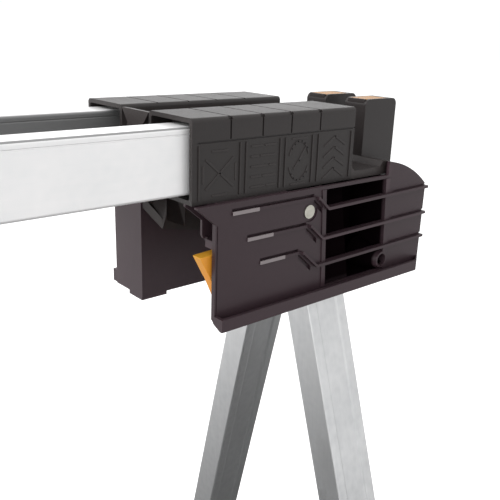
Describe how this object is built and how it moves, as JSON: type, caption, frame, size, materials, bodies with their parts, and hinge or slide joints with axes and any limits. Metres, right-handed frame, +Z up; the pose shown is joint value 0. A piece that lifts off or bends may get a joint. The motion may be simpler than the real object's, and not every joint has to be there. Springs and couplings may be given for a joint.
{
  "type": "folding sawhorse",
  "caption": "Folding sawhorse with twin steel rails, moulded black heads with grooved saddles, board slots and upright posts, and splayed folding steel legs.",
  "frame": {"origin": "on the floor, under the centre of the horse", "axes": "+X along the rails, +Y from the front rail to the rear rail, +Z up"},
  "size_m": [1.064, 0.454, 0.7316],
  "materials": {
    "rail_steel": "galvanised, faint spangle",
    "leg_steel": "galvanised, faint spangle",
    "head_plastic": "fine moulded grain",
    "cover_plastic": "satin moulded",
    "post_plastic": "fine moulded grain",
    "pad_plastic": "satin",
    "latch_plastic": "satin gloss",
    "pin_steel": "zinc plated",
    "screw_steel": "black zinc",
    "spring_steel": "spring wire",
    "yoke_plastic": "glass-filled nylon",
    "foot_rubber": "moulded rubber"
  },
  "bodies": {
    "frame": {"front_rail": "rail_steel", "rear_rail": "rail_steel", "right_leg_side_saddle": "head_plastic", "right_plain_side_saddle": "head_plastic", "right_bridge": "head_plastic", "right_ribbed_cover": "cover_plastic", "right_box_cover": "cover_plastic", "right_leg_side_post": "post_plastic", "right_plain_side_post": "post_plastic", "right_post_pads": "pad_plastic", "right_fold_pin": "pin_steel", "right_fold_washers": "pin_steel", "right_latch_pin": "pin_steel", "right_latch_spring": "spring_steel", "right_cover_screws": "screw_steel", "right_rail_bolts": "screw_steel", "left_leg_side_saddle": "head_plastic", "left_plain_side_saddle": "head_plastic", "left_bridge": "head_plastic", "left_ribbed_cover": "cover_plastic", "left_box_cover": "cover_plastic", "left_leg_side_post": "post_plastic", "left_plain_side_post": "post_plastic", "left_post_pads": "pad_plastic", "left_fold_pin": "pin_steel", "left_fold_washers": "pin_steel", "left_latch_pin": "pin_steel", "left_latch_spring": "spring_steel", "left_cover_screws": "screw_steel", "left_rail_bolts": "screw_steel"},
    "right_yoke": {"right_yoke": "yoke_plastic", "right_splay_pins": "pin_steel"},
    "right_front_leg": {"right_front_leg": "leg_steel", "right_front_leg_plug": "yoke_plastic", "right_front_leg_rivets": "pin_steel", "right_front_foot": "foot_rubber"},
    "right_rear_leg": {"right_rear_leg": "leg_steel", "right_rear_leg_plug": "yoke_plastic", "right_rear_leg_rivets": "pin_steel", "right_rear_foot": "foot_rubber"},
    "right_latch": {"right_latch_lever": "latch_plastic"},
    "left_yoke": {"left_yoke": "yoke_plastic", "left_splay_pins": "pin_steel"},
    "left_front_leg": {"left_front_leg": "leg_steel", "left_front_leg_plug": "yoke_plastic", "left_front_leg_rivets": "pin_steel", "left_front_foot": "foot_rubber"},
    "left_rear_leg": {"left_rear_leg": "leg_steel", "left_rear_leg_plug": "yoke_plastic", "left_rear_leg_rivets": "pin_steel", "left_rear_foot": "foot_rubber"},
    "left_latch": {"left_latch_lever": "latch_plastic"}
  },
  "joints": [
    {"name": "right_fold", "type": "hinge", "parent": "frame", "child": "right_yoke", "pos_m": [0.3947, -0.027, 0.659], "axis": [0, 1, 0], "range_deg": [0, 92.46]},
    {"name": "right_front_splay", "type": "hinge", "parent": "right_yoke", "child": "right_front_leg", "pos_m": [0.41798, -0.03985, 0.64599], "axis": [0.9991, 0, 0.0429], "range_deg": [0, 15.04]},
    {"name": "right_rear_splay", "type": "hinge", "parent": "right_yoke", "child": "right_rear_leg", "pos_m": [0.41798, -0.01415, 0.64599], "axis": [-0.9991, 0, -0.0429], "range_deg": [0, 15.04]},
    {"name": "right_latch_press", "type": "hinge", "parent": "frame", "child": "right_latch", "pos_m": [0.325, -0.062, 0.612], "axis": [0, 1, 0], "range_deg": [0, 10], "stiffness_Nm_per_rad": 0.5, "springref_deg": -11.46},
    {"name": "left_fold", "type": "hinge", "parent": "frame", "child": "left_yoke", "pos_m": [-0.3947, 0.027, 0.659], "axis": [0, -1, 0], "range_deg": [0, 92.46]},
    {"name": "left_rear_splay", "type": "hinge", "parent": "left_yoke", "child": "left_rear_leg", "pos_m": [-0.41798, 0.03985, 0.64599], "axis": [-0.9991, 0, 0.0429], "range_deg": [0, 15.04]},
    {"name": "left_front_splay", "type": "hinge", "parent": "left_yoke", "child": "left_front_leg", "pos_m": [-0.41798, 0.01415, 0.64599], "axis": [0.9991, 0, -0.0429], "range_deg": [0, 15.04]},
    {"name": "left_latch_press", "type": "hinge", "parent": "frame", "child": "left_latch", "pos_m": [-0.325, 0.062, 0.612], "axis": [0, -1, 0], "range_deg": [0, 10], "stiffness_Nm_per_rad": 0.5, "springref_deg": -11.46}
  ],
  "couplings": [
    {"joint": "right_front_splay", "follows": "right_fold", "ratio": 0.16265},
    {"joint": "right_rear_splay", "follows": "right_fold", "ratio": 0.16265},
    {"joint": "left_rear_splay", "follows": "left_fold", "ratio": 0.16265},
    {"joint": "left_front_splay", "follows": "left_fold", "ratio": 0.16265}
  ]
}
